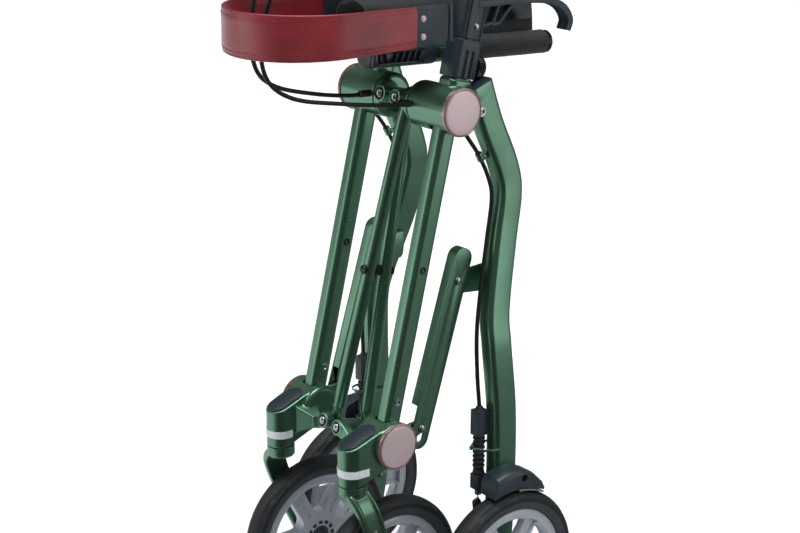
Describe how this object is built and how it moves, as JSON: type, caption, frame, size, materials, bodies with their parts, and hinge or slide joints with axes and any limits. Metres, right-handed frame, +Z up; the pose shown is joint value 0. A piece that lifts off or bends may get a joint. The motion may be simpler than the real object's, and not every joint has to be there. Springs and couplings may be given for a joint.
{
  "type": "rollator walker",
  "caption": "Folded wheeled walker: slanted side frames on round hubs, crossed braces, swivelling casters, braked rear wheels and a curved backrest strap.",
  "frame": {"origin": "on the ground under the middle of the folded walker's box", "axes": "+X to the user's left, -Y forward (the casters lead), +Z up"},
  "size_m": [0.3198, 0.4442, 0.9309],
  "materials": {
    "frame_green": "satin metallic green lacquer",
    "plastic_black": "fine moulded grain",
    "rubber_grip": "matte",
    "tyre": "matte with a blocked tread",
    "rim": "silver paint",
    "cap_rose": "brushed pale rose",
    "steel": "plain",
    "cable": "smooth black housing",
    "leather": "fine grain with stitched edges",
    "fabric": "woven"
  },
  "bodies": {
    "side_l": {"upper_hub_l": "frame_green", "upper_hub_cap_l": "cap_rose", "rear_leg_l": "frame_green", "brake_guard_l": "plastic_black", "brake_adjuster_l": "plastic_black", "post_collar_l": "plastic_black", "post_bracket_l": "plastic_black", "strap_plate_l": "plastic_black", "seat_rail_l": "frame_green", "upper_cable_l": "cable", "lower_cable_l": "cable", "backrest_strap": "leather", "seat_sling": "fabric"},
    "side_r": {"upper_hub_r": "frame_green", "upper_hub_cap_r": "cap_rose", "rear_leg_r": "frame_green", "brake_guard_r": "plastic_black", "brake_adjuster_r": "plastic_black", "post_collar_r": "plastic_black", "post_bracket_r": "plastic_black", "strap_plate_r": "plastic_black", "seat_rail_r": "frame_green", "upper_cable_r": "cable", "lower_cable_r": "cable"},
    "leg_l": {"front_leg_l": "frame_green", "hinge_lug_l": "frame_green"},
    "caster_head_l": {"lower_hub_l": "frame_green", "lower_hub_cap_l": "cap_rose"},
    "caster_l": {"caster_fork_l": "frame_green"},
    "front_wheel_l": {"front_rim_l": "rim", "front_tyre_l": "tyre"},
    "rear_wheel_l": {"rear_rim_l": "rim", "rear_tyre_l": "tyre"},
    "link_l": {"side_link_l": "frame_green"},
    "brake_l": {"brake_shoe_l": "steel", "brake_arm_l": "plastic_black"},
    "lever_l": {"brake_lever_l": "plastic_black"},
    "handle_l": {"handle_post_l": "frame_green", "grip_l": "rubber_grip"},
    "knob_l": {"height_knob_l": "plastic_black"},
    "leg_r": {"front_leg_r": "frame_green", "hinge_lug_r": "frame_green"},
    "caster_head_r": {"lower_hub_r": "frame_green", "lower_hub_cap_r": "cap_rose"},
    "caster_r": {"caster_fork_r": "frame_green"},
    "front_wheel_r": {"front_rim_r": "rim", "front_tyre_r": "tyre"},
    "rear_wheel_r": {"rear_rim_r": "rim", "rear_tyre_r": "tyre"},
    "link_r": {"side_link_r": "frame_green"},
    "brake_r": {"brake_shoe_r": "steel", "brake_arm_r": "plastic_black"},
    "lever_r": {"brake_lever_r": "plastic_black"},
    "handle_r": {"handle_post_r": "frame_green", "grip_r": "rubber_grip"},
    "knob_r": {"height_knob_r": "plastic_black"},
    "brace_a": {"brace_a": "frame_green"},
    "brace_foot_a": {"brace_foot_a": "frame_green"},
    "brace_b": {"brace_b": "frame_green"},
    "brace_foot_b": {"brace_foot_b": "frame_green"}
  },
  "joints": [
    {"name": "spread", "type": "slide", "parent": "side_l", "child": "side_r", "axis": [-1, 0, 0], "range_m": [0, 0.08], "deforming": ["backrest_strap", "seat_sling"]},
    {"name": "leg_swing_l", "type": "hinge", "parent": "side_l", "child": "leg_l", "pos_m": [0, 0.00585, 0.6435], "axis": [-1, 0, 0], "range_deg": [0, 10]},
    {"name": "caster_level_l", "type": "hinge", "parent": "leg_l", "child": "caster_head_l", "pos_m": [0, -0.08375, 0.2735], "axis": [-1, 0, 0], "range_deg": [-10, 0]},
    {"name": "link_turn_l", "type": "hinge", "parent": "side_l", "child": "link_l", "pos_m": [0.083, 0.01275, 0.4465], "axis": [-1, 0, 0], "range_deg": [0, 21]},
    {"name": "caster_swivel_l", "type": "hinge", "parent": "caster_head_l", "child": "caster_l", "pos_m": [0.0705, -0.13015, 0.2335], "axis": [0, 0, 1], "range_deg": [-15, 15]},
    {"name": "front_wheel_roll_l", "type": "hinge", "parent": "caster_l", "child": "front_wheel_l", "pos_m": [0.0705, -0.08165, 0.1], "axis": [1, 0, 0], "continuous": true},
    {"name": "rear_wheel_roll_l", "type": "hinge", "parent": "side_l", "child": "rear_wheel_l", "pos_m": [0.1459, 0.03645, 0.1], "axis": [1, 0, 0], "continuous": true},
    {"name": "handle_slide_l", "type": "slide", "parent": "side_l", "child": "handle_l", "axis": [0, 0.2354, 0.9719], "range_m": [0, 0.1], "deforming": ["upper_cable_l"]},
    {"name": "knob_turn_l", "type": "hinge", "parent": "side_l", "child": "knob_l", "pos_m": [0.0685, 0.03996, 0.68595], "axis": [0, 0.9719, -0.2354], "continuous": true},
    {"name": "lever_squeeze_l", "type": "hinge", "parent": "handle_l", "child": "lever_l", "pos_m": [0.0685, 0.09185, 0.887], "axis": [1, 0, 0], "range_deg": [0, 8.5], "stiffness_Nm_per_rad": 0.5, "springref_deg": -11.46},
    {"name": "brake_press_l", "type": "hinge", "parent": "side_l", "child": "brake_l", "pos_m": [0.1459, 0.05485, 0.2165], "axis": [-1, 0, 0], "range_deg": [0, 1.31]},
    {"name": "leg_swing_r", "type": "hinge", "parent": "side_r", "child": "leg_r", "pos_m": [0, 0.00585, 0.6435], "axis": [-1, 0, 0], "range_deg": [0, 10]},
    {"name": "caster_level_r", "type": "hinge", "parent": "leg_r", "child": "caster_head_r", "pos_m": [0, -0.08375, 0.2735], "axis": [-1, 0, 0], "range_deg": [-10, 0]},
    {"name": "link_turn_r", "type": "hinge", "parent": "side_r", "child": "link_r", "pos_m": [-0.083, 0.01275, 0.4465], "axis": [-1, 0, 0], "range_deg": [0, 21]},
    {"name": "caster_swivel_r", "type": "hinge", "parent": "caster_head_r", "child": "caster_r", "pos_m": [-0.0705, -0.13015, 0.2335], "axis": [0, 0, 1], "range_deg": [-15, 15]},
    {"name": "front_wheel_roll_r", "type": "hinge", "parent": "caster_r", "child": "front_wheel_r", "pos_m": [-0.0705, -0.08165, 0.1], "axis": [1, 0, 0], "continuous": true},
    {"name": "rear_wheel_roll_r", "type": "hinge", "parent": "side_r", "child": "rear_wheel_r", "pos_m": [-0.1459, 0.03645, 0.1], "axis": [1, 0, 0], "continuous": true},
    {"name": "handle_slide_r", "type": "slide", "parent": "side_r", "child": "handle_r", "axis": [0, 0.2354, 0.9719], "range_m": [0, 0.1], "deforming": ["upper_cable_r"]},
    {"name": "knob_turn_r", "type": "hinge", "parent": "side_r", "child": "knob_r", "pos_m": [-0.0685, 0.03996, 0.68595], "axis": [0, 0.9719, -0.2354], "continuous": true},
    {"name": "lever_squeeze_r", "type": "hinge", "parent": "handle_r", "child": "lever_r", "pos_m": [-0.0685, 0.09185, 0.887], "axis": [1, 0, 0], "range_deg": [0, 8.5], "stiffness_Nm_per_rad": 0.5, "springref_deg": -11.46},
    {"name": "brake_press_r", "type": "hinge", "parent": "side_r", "child": "brake_r", "pos_m": [-0.1459, 0.05485, 0.2165], "axis": [-1, 0, 0], "range_deg": [0, 1.31]},
    {"name": "brace_turn_a", "type": "hinge", "parent": "leg_l", "child": "brace_a", "pos_m": [0.0134, -0.00436, 0.64731], "axis": [0, 0.9745, -0.2243], "range_deg": [0, 11.6]},
    {"name": "brace_reach_a", "type": "slide", "parent": "brace_a", "child": "brace_foot_a", "axis": [-0.0694, -0.2238, -0.9722], "range_m": [0, 0.0137]},
    {"name": "brace_turn_b", "type": "hinge", "parent": "leg_r", "child": "brace_b", "pos_m": [-0.0134, 0.01776, 0.64222], "axis": [0, 0.9745, -0.2243], "range_deg": [-11.6, 0]},
    {"name": "brace_reach_b", "type": "slide", "parent": "brace_b", "child": "brace_foot_b", "axis": [0.0694, -0.2238, -0.9722], "range_m": [0, 0.0137]}
  ],
  "couplings": [
    {"joint": "caster_level_l", "follows": "leg_swing_l", "ratio": -1},
    {"joint": "link_turn_l", "follows": "leg_swing_l", "ratio": 2.09},
    {"joint": "brake_press_l", "follows": "lever_squeeze_l", "ratio": 0.153},
    {"joint": "leg_swing_r", "follows": "leg_swing_l", "ratio": 1},
    {"joint": "caster_level_r", "follows": "leg_swing_l", "ratio": -1},
    {"joint": "link_turn_r", "follows": "leg_swing_l", "ratio": 2.09},
    {"joint": "brake_press_r", "follows": "lever_squeeze_r", "ratio": 0.153},
    {"joint": "brace_turn_a", "follows": "spread", "rad_per_m": 2.513},
    {"joint": "brace_reach_a", "follows": "spread", "ratio": 0.17},
    {"joint": "brace_turn_b", "follows": "spread", "rad_per_m": -2.513},
    {"joint": "brace_reach_b", "follows": "spread", "ratio": 0.17}
  ]
}
